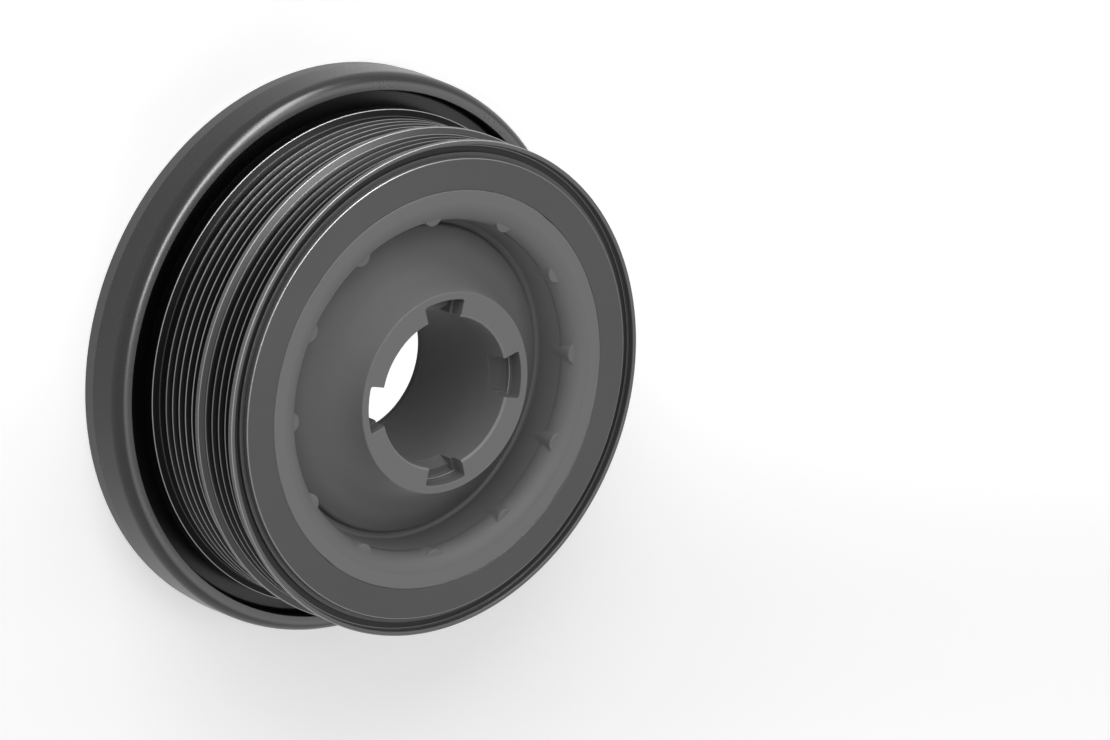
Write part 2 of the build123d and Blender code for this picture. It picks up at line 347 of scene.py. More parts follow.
def new_group(name, inputs, outputs):
    """An empty shader node group with named inputs (name: type, value) and outputs (name: type)."""
    tree = bpy.data.node_groups.new(name, "ShaderNodeTree")
    for label, (kind, value) in inputs.items():
        socket = tree.interface.new_socket(label, in_out="INPUT", socket_type="NodeSocket" + kind)
        if value is not None:
            socket.default_value = value
    for label, kind in outputs.items():
        tree.interface.new_socket(label, in_out="OUTPUT", socket_type="NodeSocket" + kind)
    entry = tree.nodes.new("NodeGroupInput")
    leave = tree.nodes.new("NodeGroupOutput")
    return tree, entry, leave


def place_group(tree, group, inputs):
    return add_node(tree, "ShaderNodeGroup", {"node_tree": group}, inputs)


# Matte skin of a coated casting: fine sand grain, soft clouds of tone, slightly uneven gloss
skin_group, skin_in, skin_out = new_group(
    "coated_skin",
    {
        "Position": ("Vector", None),
        "Colour": ("Color", (0.15, 0.15, 0.15, 1)),
        "Tone Change": ("Float", 0.1),
        "Grain Size": ("Float", 0.0005),
        "Gloss": ("Float", 0.6),
        "Gloss Change": ("Float", 0.06),
    },
    {"Colour": "Color", "Roughness": "Float", "Height": "Float"},
)
clouds = add_node(
    skin_group,
    "ShaderNodeTexNoise",
    {"noise_dimensions": "3D"},
    {"Vector": skin_in.outputs["Position"], "Scale": 34.0, "Detail": 3.0, "Roughness": 0.55},
)
grain_scale = calc(skin_group, "DIVIDE", 1.0, skin_in.outputs["Grain Size"])
grain = add_node(
    skin_group,
    "ShaderNodeTexNoise",
    {"noise_dimensions": "3D"},
    {"Vector": skin_in.outputs["Position"], "Scale": grain_scale, "Detail": 2.0, "Roughness": 0.6},
)
speckle = calc(skin_group, "SUBTRACT", grain.outputs["Fac"], 0.5)
cloud = calc(skin_group, "SUBTRACT", clouds.outputs["Fac"], 0.5)
mottle = calc(skin_group, "ADD", calc(skin_group, "MULTIPLY", speckle, 0.6), calc(skin_group, "MULTIPLY", cloud, 1.6))
tone = calc(skin_group, "MULTIPLY_ADD", mottle, skin_in.outputs["Tone Change"], 1.0)
toned = add_node(
    skin_group,
    "ShaderNodeVectorMath",
    {"operation": "SCALE"},
    {0: skin_in.outputs["Colour"], "Scale": tone},
)
skin_group.links.new(toned.outputs[0], skin_out.inputs["Colour"])
uneven = calc(skin_group, "MULTIPLY_ADD", mottle, skin_in.outputs["Gloss Change"], skin_in.outputs["Gloss"])
skin_group.links.new(uneven, skin_out.inputs["Roughness"])
skin_group.links.new(grain.outputs["Fac"], skin_out.inputs["Height"])

# Tool marks of a turned face: fine rings round the axis, uneven from ring to ring
marks_group, marks_in, marks_out = new_group(
    "turning_marks",
    {"Position": ("Vector", None), "Spacing": ("Float", 0.0002)},
    {"Radius": "Float", "Height": "Float"},
)
marks_split = add_node(marks_group, "ShaderNodeSeparateXYZ", inputs={0: marks_in.outputs["Position"]})
square_x = calc(marks_group, "MULTIPLY", marks_split.outputs["X"], marks_split.outputs["X"])
square_y = calc(marks_group, "MULTIPLY", marks_split.outputs["Y"], marks_split.outputs["Y"])
axis_distance = calc(marks_group, "SQRT", calc(marks_group, "ADD", square_x, square_y))
along = calc(marks_group, "DIVIDE", axis_distance, marks_in.outputs["Spacing"])
across = calc(marks_group, "DIVIDE", marks_split.outputs["Z"], marks_in.outputs["Spacing"])
drift_x = calc(marks_group, "MULTIPLY", marks_split.outputs["X"], 60.0)
drift_y = calc(marks_group, "MULTIPLY", marks_split.outputs["Y"], 60.0)
ring_place = add_node(
    marks_group,
    "ShaderNodeCombineXYZ",
    inputs={"X": calc(marks_group, "ADD", along, across), "Y": drift_x, "Z": drift_y},
)
rings = add_node(
    marks_group,
    "ShaderNodeTexNoise",
    {"noise_dimensions": "3D"},
    {"Vector": ring_place.outputs[0], "Scale": 1.0, "Detail": 2.0, "Roughness": 0.5},
)
marks_group.links.new(axis_distance, marks_out.inputs["Radius"])
marks_group.links.new(rings.outputs["Fac"], marks_out.inputs["Height"])


def add_skin(tree, place, colour, tone_change, grain_size, gloss, gloss_change):
    """Places the coated skin, with its grain size in mm."""
    return place_group(
        tree,
        skin_group,
        {
            "Position": place,
            "Colour": colour,
            "Tone Change": tone_change,
            "Grain Size": grain_size * MM,
            "Gloss": gloss,
            "Gloss Change": gloss_change,
        },
    )


def add_marks(tree, place, spacing):
    """Places the turning marks, with their spacing in mm."""
    return place_group(tree, marks_group, {"Position": place, "Spacing": spacing * MM})


def mask_above(tree, value, low, high):
    """1 where the radius or height lies above high, 0 below low, both in mm, and soft between them."""
    made = add_node(
        tree,
        "ShaderNodeMapRange",
        {"interpolation_type": "SMOOTHSTEP", "clamp": True},
        {"Value": value, "From Min": low * MM, "From Max": high * MM, "To Min": 0.0, "To Max": 1.0},
    )
    return made.outputs["Result"]


def mask_below(tree, value, low, high):
    """The reverse of mask_above."""
    return calc(tree, "SUBTRACT", 1.0, mask_above(tree, value, low, high))


def mask_between(tree, value, low, high, soft):
    """1 between low and high, 0 outside them, with both edges softened by soft, all in mm."""
    rise = mask_above(tree, value, low - soft, low + soft)
    fall = mask_above(tree, value, high - soft, high + soft)
    return calc(tree, "SUBTRACT", rise, fall, clamp=True)


def overlap(tree, first, second):
    """1 only where both masks are 1."""
    return calc(tree, "MULTIPLY", first, second)


def new_material(name):
    """A material with a bare shader, its node tree and the object coordinates split up."""
    material = bpy.data.materials.new(name)
    material.use_nodes = True
    tree = material.node_tree
    tree.nodes.clear()
    leave = tree.nodes.new("ShaderNodeOutputMaterial")
    shader = tree.nodes.new("ShaderNodeBsdfPrincipled")
    tree.links.new(shader.outputs[0], leave.inputs["Surface"])
    place = tree.nodes.new("ShaderNodeTexCoord").outputs["Object"]
    split = add_node(tree, "ShaderNodeSeparateXYZ", inputs={0: place})
    return material, tree, shader, place, split


def join_bumps(tree, shader, bumps):
    """Stacks bumps (height socket, strength, distance) and feeds the shader's normal."""
    normal = None
    for height, strength, distance in bumps:
        made = add_node(tree, "ShaderNodeBump", inputs={"Height": height, "Strength": strength, "Distance": distance})
        if normal:
            tree.links.new(normal, made.inputs["Normal"])
        normal = made.outputs["Normal"]
    tree.links.new(normal, shader.inputs["Normal"])


hub_material, tree, shader, place, split = new_material("phosphated_casting")
marks = add_marks(tree, place, 0.22)
radius = marks.outputs["Radius"]
height = split.outputs["Z"]
nose_mask = overlap(
    tree,
    mask_above(tree, height, nose_top - 0.08, nose_top - 0.02),
    mask_between(tree, radius, hub_bore + mouth_chamfer, nose_edge - 0.1, 0.04),
)
rim_mask = overlap(
    tree,
    mask_above(tree, height, rim_height - 0.1, rim_height - 0.02),
    mask_above(tree, radius, lip_centre[0] + 0.02, lip_centre[0] + 0.32),
)
# Machined bore, coloured darker than the other machined faces: painted shade inside the hole
bore_machined_and_shaded = overlap(
    tree,
    mask_between(tree, radius, hub_bore - 0.2, hub_bore + 0.05, 0.02),
    mask_above(tree, height, hub_seat + 0.3, hub_seat + 0.7),
)
machined = calc(tree, "MAXIMUM", calc(tree, "MAXIMUM", nose_mask, rim_mask), bore_machined_and_shaded)
# Pockets coloured darker: painted shade in the recesses
pocket_painted_shade = overlap(
    tree,
    mask_between(tree, radius, hub_bore + 0.15, pocket_wall + 0.1, 0.1),
    mask_between(tree, height, 59.0, nose_top - 0.3, 0.1),
)
# Ledges in the pockets coloured lighter: painted highlight
ledge_painted_highlight = overlap(
    tree,
    mask_between(tree, radius, ledge_wall - 0.08, ledge_wall + 0.25, 0.05),
    mask_between(tree, height, pocket_level - 0.3, pocket_level + 0.03, 0.05),
)
# Chamfer at the mouth of the bore coloured lighter: painted highlight on the edge
mouth_painted_highlight = overlap(
    tree,
    mask_between(tree, radius, hub_bore - 0.05, hub_bore + mouth_chamfer + 0.02, 0.03),
    mask_above(tree, height, nose_top - 0.75, nose_top - 0.68),
)
rear_end_mask = overlap(
    tree,
    mask_below(tree, height, hub_seat + 2.3, hub_seat + 2.6),
    mask_below(tree, radius, hub_bore + 0.4, hub_bore + 0.6),
)
skin = add_skin(tree, place, grey(0.135), 0.08, 0.7, 0.68, 0.08)
hub_colour = skin.outputs["Colour"]
# Tones over the skin: the machined faces; painted shade in the bore and the pockets; painted highlight on the ledges
# and the mouth chamfer; near black at the rear end of the bore
for mask, tone in (
    (machined, 0.14),
    (bore_machined_and_shaded, 0.105),
    (pocket_painted_shade, 0.085),
    (ledge_painted_highlight, 0.26),
    (mouth_painted_highlight, 0.19),
    (rear_end_mask, 0.012),
):
    hub_colour = blend_colours(tree, mask, hub_colour, grey(tone))
tree.links.new(hub_colour, shader.inputs["Base Color"])
shader.inputs["Specular IOR Level"].default_value = 0.3
smoother = calc(tree, "MULTIPLY_ADD", machined, -0.08, skin.outputs["Roughness"])
tree.links.new(smoother, shader.inputs["Roughness"])
ring_height = calc(tree, "MULTIPLY", marks.outputs["Height"], machined)
sand_height = calc(tree, "MULTIPLY", skin.outputs["Height"], calc(tree, "SUBTRACT", 1.0, machined))
join_bumps(tree, shader, [(sand_height, 0.35, 0.00006), (ring_height, 0.25, 0.00002)])

hub = link_piece("hub_casting", hub_data, hub_material)
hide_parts("hub")

# Inertia ring
# Heavy iron ring in black satin paint, bonded on the damper rubber. Its front edge is turned to a large
# round; a narrow band at the rear is set back a little and is coloured lighter, a painted reflection of the floor.
turning = bpy.data.node_groups.new("turned_section", "GeometryNodeTree")
turning.interface.new_socket("Section", in_out="INPUT", socket_type="NodeSocketGeometry")
for label, kind, value in (
    ("Facets", "NodeSocketInt", 256),
    ("Closed", "NodeSocketInt", 1),
    ("Merge Distance", "NodeSocketFloat", 0.000001),
    ("Finish", "NodeSocketMaterial", None),
):
    socket = turning.interface.new_socket(label, in_out="INPUT", socket_type=kind)
    if value is not None:
        socket.default_value = value
turning.interface.new_socket("Geometry", in_out="OUTPUT", socket_type="NodeSocketGeometry")
turning_in = turning.nodes.new("NodeGroupInput")
turning_out = turning.nodes.new("NodeGroupOutput")


def lathe_grid(tree, facets, rows):
    """A grid of facets + 1 columns by rows, with each point's column and row."""
    grid = add_node(
        tree,
        "GeometryNodeMeshGrid",
        inputs={"Vertices X": calc(tree, "ADD", facets, 1.0), "Vertices Y": rows},
    )
    index = tree.nodes.new("GeometryNodeInputIndex").outputs[0]
    column = calc(tree, "FLOOR", calc(tree, "DIVIDE", calc(tree, "ADD", index, 0.5), rows))
    row = calc(tree, "ROUND", calc(tree, "SUBTRACT", index, calc(tree, "MULTIPLY", column, rows)))
    return grid.outputs["Mesh"], column, row


def lathe_finish(tree, mesh, column, facets, radius, height, merge, finish, leave):
    """Wraps the grid round the axis, closes the seams and gives it its material."""
    step = calc(tree, "DIVIDE", calc(tree, "FLOORED_MODULO", column, facets), facets)
    turn = calc(tree, "MULTIPLY", step, 2 * math.pi)
    spot = add_node(
        tree,
        "ShaderNodeCombineXYZ",
        inputs={
            "X": calc(tree, "MULTIPLY", radius, calc(tree, "COSINE", turn)),
            "Y": calc(tree, "MULTIPLY", radius, calc(tree, "SINE", turn)),
            "Z": height,
        },
    )
    moved = add_node(tree, "GeometryNodeSetPosition", inputs={"Geometry": mesh, "Position": spot.outputs[0]})
    merged = add_node(tree, "GeometryNodeMergeByDistance", inputs={"Geometry": moved.outputs[0], "Distance": merge})
    real = add_node(tree, "GeometryNodeRealizeInstances", inputs={"Geometry": merged.outputs[0]})
    dressed = add_node(tree, "GeometryNodeSetMaterial", inputs={"Geometry": real.outputs[0], "Material": finish})
    tree.links.new(dressed.outputs[0], leave.inputs["Geometry"])


section_size = add_node(
    turning,
    "GeometryNodeAttributeDomainSize",
    {"component": "MESH"},
    {"Geometry": turning_in.outputs["Section"]},
).outputs["Point Count"]
row_count = calc(turning, "ADD", section_size, turning_in.outputs["Closed"])
grid, column, row = lathe_grid(turning, turning_in.outputs["Facets"], row_count)
section_point = add_node(
    turning,
    "GeometryNodeSampleIndex",
    {"data_type": "FLOAT_VECTOR", "domain": "POINT"},
    {
        "Geometry": turning_in.outputs["Section"],
        "Value": turning.nodes.new("GeometryNodeInputPosition").outputs[0],
        "Index": calc(turning, "FLOORED_MODULO", row, section_size),
    },
)
section_split = add_node(turning, "ShaderNodeSeparateXYZ", inputs={0: section_point.outputs[0]})
lathe_finish(
    turning,
    grid,
    column,
    turning_in.outputs["Facets"],
    section_split.outputs["X"],
    section_split.outputs["Z"],
    turning_in.outputs["Merge Distance"],
    turning_in.outputs["Finish"],
    turning_out,
)


def run_tree(name, tree, values, points=()):
    """Runs a geometry tree on a section given as points (radius, height) in mm and returns a plain mesh."""
    start = bpy.data.meshes.new(name)
    start.from_pydata([(radius * MM, 0, height * MM) for radius, height in points], [], [])
    holder = bpy.data.objects.new(name, start)
    bpy.context.scene.collection.objects.link(holder)
    modifier = holder.modifiers.new("shape", "NODES")
    modifier.node_group = tree
    for item in tree.interface.items_tree:
        if item.item_type == "SOCKET" and item.in_out == "INPUT" and item.name in values:
            modifier[item.identifier] = values[item.name]
    view = bpy.context.evaluated_depsgraph_get()
    result = bpy.data.meshes.new_from_object(holder.evaluated_get(view))
    result.name = name
    bpy.data.objects.remove(holder)
    bpy.data.meshes.remove(start)
    return result


def turned_piece(name, corners, material, facets=256, steps=4, support=0.25):
    """A solid of revolution from the closed outline of its section."""
    closed = rounded_section([corners[-1]] + corners + [corners[0]], steps, support)[1:-1]
    mesh = run_tree(name, turning, {"Facets": facets, "Closed": 1, "Finish": material}, closed)
    return link_piece(name, mesh, material)


ring_inner = 73.98
ring_radius = 96.8
ring_top = 19.3
ring_floor = 13.0
lip_radius = 91.05
band_radius = 96.4
band_top = 4.6

ring_material, tree, shader, place, split = new_material("black_satin_paint")
marks = add_marks(tree, place, 0.5)
skin = add_skin(tree, place, grey(0.004), 0.12, 0.9, 0.28, 0.04)
radius = marks.outputs["Radius"]
height = split.outputs["Z"]
# Rear band coloured lighter: painted reflection of the floor
rear_band_reflection = overlap(
    tree,
    mask_below(tree, height, band_top + 0.1, band_top + 0.3),
    mask_above(tree, radius, band_radius - 0.9, band_radius - 0.6),
)
# Flat front face of the lip coloured lighter: painted highlight
lip_face_highlight = overlap(
    tree,
    mask_above(tree, height, ring_top - 0.6, ring_top - 0.05),
    mask_above(tree, radius, lip_radius + 0.07, lip_radius + 0.25),
)
colour = blend_colours(tree, rear_band_reflection, skin.outputs["Colour"], grey(0.045))
colour = blend_colours(tree, lip_face_highlight, colour, grey(0.12))
tree.links.new(colour, shader.inputs["Base Color"])
tree.links.new(calc(tree, "MULTIPLY_ADD", rear_band_reflection, 0.08, skin.outputs["Roughness"]), shader.inputs["Roughness"])
shader.inputs["IOR"].default_value = 1.52
join_bumps(tree, shader, [(skin.outputs["Height"], 0.15, 0.00005), (marks.outputs["Height"], 0.08, 0.00002)])

inertia_ring = turned_piece(
    "inertia_ring_iron",
    [
        (ring_inner, 0.0, 0.3),
        (band_radius, 0.0, 0.4),
        (band_radius, band_top, 0.12),
        (ring_radius, band_top + 0.35, 0.15),
        (ring_radius, ring_top, 4.2),
        (lip_radius, ring_top, 0.4),
        (lip_radius, ring_floor, 1.5),
        (ring_inner, ring_floor, 0.3),
    ],
    ring_material,
    facets=320,
    steps=6,
)
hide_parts("inertia_ring")

# Damper rubber
# Black rubber ring moulded between the hub wall and the inertia ring, with a hollow meniscus at both ends
# where it shrank in the mould. It is the spring of the damper.
def arc_through(start, middle, end, count):
    """Points of the arc from start over middle to end."""
    ax, ay = start
    bx, by = middle
    cx, cy = end
    scale = 2 * (ax * (by - cy) + bx * (cy - ay) + cx * (ay - by))
    ux = ((ax**2 + ay**2) * (by - cy) + (bx**2 + by**2) * (cy - ay) + (cx**2 + cy**2) * (ay - by)) / scale
    uy = ((ax**2 + ay**2) * (cx - bx) + (bx**2 + by**2) * (ax - cx) + (cx**2 + cy**2) * (bx - ax)) / scale
    first = math.atan2(ay - uy, ax - ux)
    last = math.atan2(cy - uy, cx - ux)
    radius = math.hypot(ax - ux, ay - uy)
    return [
        (
            ux + radius * math.cos(first + (last - first) * step / count),
            uy + radius * math.sin(first + (last - first) * step / count),
        )
        for step in range(count + 1)
    ]


rubber_material, tree, shader, place, split = new_material("damper_rubber")
skin = add_skin(tree, place, grey(0.014), 0.25, 0.8, 0.62, 0.12)
tree.links.new(skin.outputs["Colour"], shader.inputs["Base Color"])
tree.links.new(skin.outputs["Roughness"], shader.inputs["Roughness"])
join_bumps(tree, shader, [(skin.outputs["Height"], 0.4, 0.00006)])

rubber_inner = 69.01
rubber_middle = 71.48
rubber_outer = 73.95
low_end = arc_through((rubber_inner, 2.8), (rubber_middle, 3.6), (rubber_outer, 2.8), 10)
high_end = arc_through((rubber_outer, 12.2), (rubber_middle, 11.4), (rubber_inner, 12.2), 10)
damper_rubber = turned_piece(
    "damper_rubber_ring",
    [(radius, height, 0) for radius, height in low_end + high_end],
    rubber_material,
    facets=192,
)
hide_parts("damper_rubber")

# Belt pulley
# Steel pulley in a thin black coating, turned from a blank: a rear track with six belt grooves, a front
# track with four, three flanges that guide the belts, and a recess in front for the washer. The coating is
# polished and worn grey on the crests by the belts, and coloured lighter still there and on the flange edges
# as painted highlight; the grooves and the rear flange carry painted shade in near black.
pitch = 3.56
crest = 83.45
flange = 85.7
slope_run = 1.25
land_width = 1.5
rear_grooves = 6
front_grooves = 4
rear_start = 24.35
rear_end = rear_start + rear_grooves * pitch
front_start = rear_end + slope_run + land_width + slope_run
front_end = front_start + front_grooves * pitch
pulley_back = 19.0
pulley_front = 67.0
recess_wall = 84.1
recess_floor = 64.8
neck_bore = 71.57
neck_back = 55.8
coupling_bore = 77.5

pulley_material, tree, shader, place, split = new_material("black_coated_steel")
marks = add_marks(tree, place, 0.35)
skin = add_skin(tree, place, grey(0.05), 0.15, 0.9, 0.42, 0.04)
radius = marks.outputs["Radius"]
height = split.outputs["Z"]
ahead = mask_above(tree, height, rear_start + 0.55, rear_start + 0.65)
front_track = mask_above(tree, height, front_start - 0.71, front_start - 0.21)
# Belt wear on the crests, coloured lighter than the wear alone: painted highlight
crest_wear_and_highlight = mask_between(tree, radius, crest - 0.1, crest + 0.15, 0.05)
# Painted shade on the crests: the first crest beside the rear flange stays dull, and the front track is dimmer
crest_wear_and_highlight = overlap(tree, crest_wear_and_highlight, calc(tree, "MULTIPLY_ADD", ahead, 0.85, 0.15))
crest_wear_and_highlight = overlap(tree, crest_wear_and_highlight, calc(tree, "MULTIPLY_ADD", front_track, -0.4, 1.0))
# Flange edges coloured lighter: wear and painted highlight
edge_wear_and_highlight = overlap(
    tree,
    mask_between(tree, radius, flange - 0.25, flange - 0.03, 0.06),
    mask_above(tree, height, rear_start - slope_run - 0.2, rear_start - slope_run - 0.1),
)
# Lands a touch lighter: painted sheen
land_painted_sheen = overlap(
    tree,
    mask_above(tree, radius, flange - 0.06, flange),
    mask_above(tree, height, rear_end - 5.7, rear_end - 4.7),
)
# Front face of the front flange coloured lighter: painted light
front_face_painted_light = overlap(
    tree,
    mask_above(tree, height, pulley_front - 0.2, pulley_front - 0.1),
    mask_above(tree, radius, recess_wall + 0.1, recess_wall + 0.3),
)
wear_and_highlight = calc(tree, "MAXIMUM", crest_wear_and_highlight, edge_wear_and_highlight)
wear_and_highlight = calc(tree, "MAXIMUM", wear_and_highlight, calc(tree, "MULTIPLY", land_painted_sheen, 0.06))
wear_and_highlight = calc(tree, "MAXIMUM", wear_and_highlight, calc(tree, "MULTIPLY", front_face_painted_light, 0.22))
patchy = add_node(
    tree, "ShaderNodeTexNoise", inputs={"Vector": place, "Scale": 45.0, "Detail": 3.0, "Roughness": 0.6}
).outputs["Fac"]
wear_and_highlight = calc(tree, "MULTIPLY", wear_and_highlight, calc(tree, "MULTIPLY_ADD", patchy, 0.4, 0.8), clamp=True)
# Painted shade: the rear flange and its slope get a black metallic finish that kills their gloss
rear_end_face = mask_below(tree, height, rear_start + 0.25, rear_start + 1.05)
rear_painted_shade = overlap(tree, rear_end_face, calc(tree, "SUBTRACT", 1.0, wear_and_highlight))
# Painted shade: the grooves and the rear end coloured near black, while the flange tops keep the coat's colour
unshaded_coat = overlap(tree, mask_above(tree, radius, crest + 0.15, crest + 0.55), ahead)
coat_with_painted_shade = blend_colours(tree, unshaded_coat, grey(0.004), skin.outputs["Colour"])
tree.links.new(blend_colours(tree, wear_and_highlight, coat_with_painted_shade, grey(0.28)), shader.inputs["Base Color"])
# Metallic: bare metal where worn, and at the rear the black metallic finish of the painted shade
bare = calc(tree, "MAXIMUM", calc(tree, "MULTIPLY", wear_and_highlight, 0.9), calc(tree, "MULTIPLY", rear_painted_shade, 0.85))
tree.links.new(bare, shader.inputs["Metallic"])
tree.links.new(calc(tree, "MULTIPLY_ADD", wear_and_highlight, 0.08, skin.outputs["Roughness"]), shader.inputs["Roughness"])
shader.inputs["Specular IOR Level"].default_value = 0.3
join_bumps(tree, shader, [(skin.outputs["Height"], 0.12, 0.00004), (marks.outputs["Height"], 0.12, 0.00002)])

track_tree = bpy.data.node_groups.new("ribbed_belt_track", "GeometryNodeTree")
for label, kind, value in (
    ("Facets", "NodeSocketInt", 256),
    ("Grooves", "NodeSocketInt", rear_grooves),
    ("Points per Groove", "NodeSocketInt", 16),
    ("Pitch", "NodeSocketFloat", pitch * MM),
    ("Start Height", "NodeSocketFloat", 0.0),
    ("Crest Radius", "NodeSocketFloat", crest * MM),
    ("Groove Depth", "NodeSocketFloat", 0.0029),
    ("Root Width", "NodeSocketFloat", 0.0009),
    ("Groove Angle", "NodeSocketFloat", 40.0),
    ("Rounding", "NodeSocketFloat", 0.14),
    ("Crowding", "NodeSocketFloat", 0.7),
    ("Merge Distance", "NodeSocketFloat", 0.000001),
    ("Finish", "NodeSocketMaterial", None),
):
    socket = track_tree.interface.new_socket(label, in_out="INPUT", socket_type=kind)
    if value is not None:
        socket.default_value = value
track_tree.interface.new_socket("Geometry", in_out="OUTPUT", socket_type="NodeSocketGeometry")
track_in = track_tree.nodes.new("NodeGroupInput").outputs
track_out = track_tree.nodes.new("NodeGroupOutput")
row_count = calc(track_tree, "MULTIPLY_ADD", track_in["Grooves"], track_in["Points per Groove"], 1.0)
grid, column, row = lathe_grid(track_tree, track_in["Facets"], row_count)
even = calc(track_tree, "DIVIDE", row, track_in["Points per Groove"])
sway = calc(track_tree, "SINE", calc(track_tree, "MULTIPLY", even, 4 * math.pi))
crowd = calc(track_tree, "DIVIDE", calc(track_tree, "MULTIPLY", sway, track_in["Crowding"]), 4 * math.pi)
pitches = calc(track_tree, "SUBTRACT", even, crowd)
track_height = calc(track_tree, "MULTIPLY_ADD", pitches, track_in["Pitch"], track_in["Start Height"])
from_middle = calc(track_tree, "ABSOLUTE", calc(track_tree, "SUBTRACT", calc(track_tree, "FRACT", pitches), 0.5))
distance = calc(track_tree, "MULTIPLY", from_middle, track_in["Pitch"])
half_root = calc(track_tree, "MULTIPLY", track_in["Root Width"], 0.5)
lean = calc(track_tree, "TANGENT", calc(track_tree, "MULTIPLY", track_in["Groove Angle"], math.pi / 360))
flank = calc(track_tree, "MULTIPLY", track_in["Groove Depth"], lean)
half_mouth = calc(track_tree, "ADD", half_root, flank)
depth = calc(track_tree, "DIVIDE", calc(track_tree, "SUBTRACT", half_mouth, distance), flank)
depth = calc(track_tree, "SMOOTH_MIN", depth, 1.0, track_in["Rounding"])
depth = calc(track_tree, "SMOOTH_MAX", depth, 0.0, track_in["Rounding"])
track_radius = calc(
    track_tree,
    "SUBTRACT",
    track_in["Crest Radius"],
    calc(track_tree, "MULTIPLY", depth, track_in["Groove Depth"]),
)
lathe_finish(
    track_tree,
    grid,
    column,
    track_in["Facets"],
    track_radius,
    track_height,
    track_in["Merge Distance"],
    track_in["Finish"],
    track_out,
)

pulley_facets = 256
body_points = rounded_section(
    [
        (crest, front_end, 0),
        (flange, front_end + slope_run, 0.25),
        (flange, pulley_front, 0.4),
        (recess_wall, pulley_front, 0.35),
        (recess_wall, recess_floor, 0.3),
        (neck_bore, recess_floor, 0.3),
        (neck_bore, neck_back, 0.3),
        (coupling_bore, neck_back, 0.3),
        (coupling_bore, pulley_back, 0.4),
        (flange, pulley_back, 0.4),
        (flange, rear_start - slope_run, 0.25),
        (crest, rear_start, 0),
    ],
    steps=4,
    support=0.2,
)
middle_points = rounded_section(
    [
        (crest, rear_end, 0),
        (flange, rear_end + slope_run, 0.25),
        (flange, front_start - slope_run, 0.25),
        (crest, front_start, 0),
    ],
    steps=4,
    support=0.2,
)
pulley_mesh = bmesh.new()
for name, part_tree, values, points in (
    ("front_track", track_tree, {"Grooves": front_grooves, "Start Height": front_start * MM}, ()),
    ("rear_track", track_tree, {"Grooves": rear_grooves, "Start Height": rear_start * MM}, ()),
    ("flanges", turning, {"Closed": 0}, body_points),
    ("middle_flange", turning, {"Closed": 0}, middle_points),
):
    part = run_tree(name, part_tree, {"Facets": pulley_facets, "Finish": pulley_material, **values}, points)
    pulley_mesh.from_mesh(part)
    bpy.data.meshes.remove(part)
bmesh.ops.remove_doubles(pulley_mesh, verts=pulley_mesh.verts, dist=2e-6)
bmesh.ops.recalc_face_normals(pulley_mesh, faces=pulley_mesh.faces)
pulley_data = bpy.data.meshes.new("belt_pulley_turned")
pulley_mesh.to_mesh(pulley_data)
pulley_mesh.free()
pulley = link_piece("belt_pulley_turned", pulley_data, pulley_material)
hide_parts("belt_pulley")

# Coupling and bearing
# Two drawn steel sleeves with rubber bonded between them drive the pulley softly from the hub, and a plain
# bush of filled plastic carries its neck. All four lie hidden inside the pulley.
sleeve_material, tree, shader, place, split = new_material("drawn_steel")
marks = add_marks(tree, place, 0.4)
shader.inputs["Metallic"].default_value = 1.0
tree.links.new(blend_colours(tree, marks.outputs["Height"], grey(0.30), grey(0.42)), shader.inputs["Base Color"])
tree.links.new(calc(tree, "MULTIPLY_ADD", marks.outputs["Height"], 0.15, 0.28), shader.inputs["Roughness"])
join_bumps(tree, shader, [(marks.outputs["Height"], 0.2, 0.00002)])

plastic_material, tree, shader, place, split = new_material("filled_bearing_plastic")
skin = add_skin(tree, place, grey(0.045, 0.02), 0.2, 0.4, 0.45, 0.1)
tree.links.new(skin.outputs["Colour"], shader.inputs["Base Color"])
tree.links.new(skin.outputs["Roughness"], shader.inputs["Roughness"])
join_bumps(tree, shader, [(skin.outputs["Height"], 0.2, 0.00003)])

for node_name, material in (
    ("coupling_inner_sleeve", sleeve_material),
    ("coupling_outer_sleeve", sleeve_material),
    ("coupling_rubber", rubber_material),
    ("bearing_bush", plastic_material),
):
    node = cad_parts[node_name]
    for holder in node.material_slots:
        holder.material = material

# Thrust washer
# Thin washer of filled plastic that lies in the recess of the pulley and takes its end load.
washer_inner = 69.05
washer_outer = 81.25
washer_back = recess_floor + 0.03
washer_front = washer_back + 0.9
washer = turned_piece(
    "thrust_washer_plastic",
    [
        (washer_inner, washer_back, 0.15),
        (washer_outer, washer_back, 0.15),
        (washer_outer, washer_front, 0.15),
        (washer_inner, washer_front, 0.15),
    ],
    plastic_material,
    steps=2,
    support=0.1,
)
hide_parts("thrust_washer")

# Retaining ring
# Steel ring in a dark satin coating, pressed on the rim of the hub. Its front face falls away slightly
# towards its rounded edge and carries very fine turning marks.
ring_bore = 69.01
ring_edge = 79.7
ring_back = 65.79
ring_front_at_edge = 67.65
ring_front_at_bore = 68.45

retainer_material, tree, shader, place, split = new_material("dark_satin_coating")
marks = add_marks(tree, place, 0.3)
skin = add_skin(tree, place, grey(0.028), 0.10, 0.8, 0.34, 0.04)
